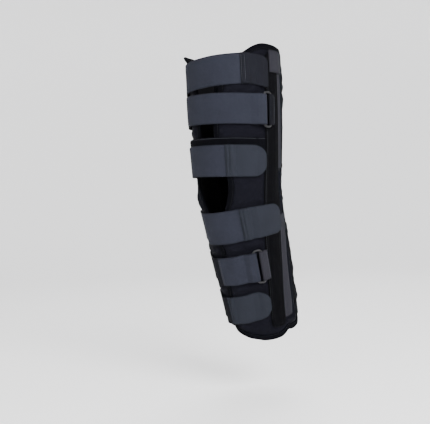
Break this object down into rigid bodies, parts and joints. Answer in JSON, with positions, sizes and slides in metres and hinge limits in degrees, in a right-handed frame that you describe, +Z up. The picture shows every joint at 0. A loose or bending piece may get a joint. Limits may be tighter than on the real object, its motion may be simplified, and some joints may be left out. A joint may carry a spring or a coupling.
{
  "type": "knee immobilizer",
  "caption": "Long padded wrap that keeps a knee nearly straight, open at the kneecap, with side pads and webbing straps that close across the front.",
  "frame": {"origin": "middle of the knee, inside the hollow that the leg fills", "axes": "+Z up along the middle of the thigh, -Y out of the front of the leg, +X to the outer side; the calf runs down and back by the knee's bend"},
  "size_m": [0.1691, 0.1973, 0.4865],
  "materials": {
    "padding_laminate": "smooth knitted face on foam, fine ribs",
    "binding_tape": "black woven tape",
    "pad_velour": "matt brushed loop cloth",
    "strap_webbing": "brushed slate grey loop webbing",
    "strip_webbing": "plain woven grey webbing",
    "ring_plastic": "moulded grey plastic, satin"
  },
  "bodies": {
    "root": {"lateral_panel": "padding_laminate", "lateral_binding": "binding_tape", "medial_panel": "padding_laminate", "medial_binding": "binding_tape", "posterior_panel": "padding_laminate", "posterior_binding": "binding_tape", "lateral_pad": "pad_velour", "medial_pad": "pad_velour", "stay_strip_thigh": "strip_webbing", "stay_strip_calf": "strip_webbing", "top_patch": "strip_webbing", "thigh_strap_upper": "strap_webbing", "thigh_strap_upper_tab": "strap_webbing", "thigh_strap_lower": "strap_webbing", "thigh_strap_lower_ring": "ring_plastic", "thigh_strap_lower_ring_loop": "strip_webbing", "knee_strap_upper": "strap_webbing", "knee_band": "binding_tape", "knee_strap_upper_tab": "strap_webbing", "knee_strap_lower": "strap_webbing", "knee_strap_lower_tab": "strap_webbing", "calf_strap_upper": "strap_webbing", "calf_strap_upper_ring": "ring_plastic", "calf_strap_upper_ring_loop": "strip_webbing", "calf_strap_lower": "strap_webbing", "calf_strap_lower_tab": "strap_webbing"}
  },
  "joints": []
}
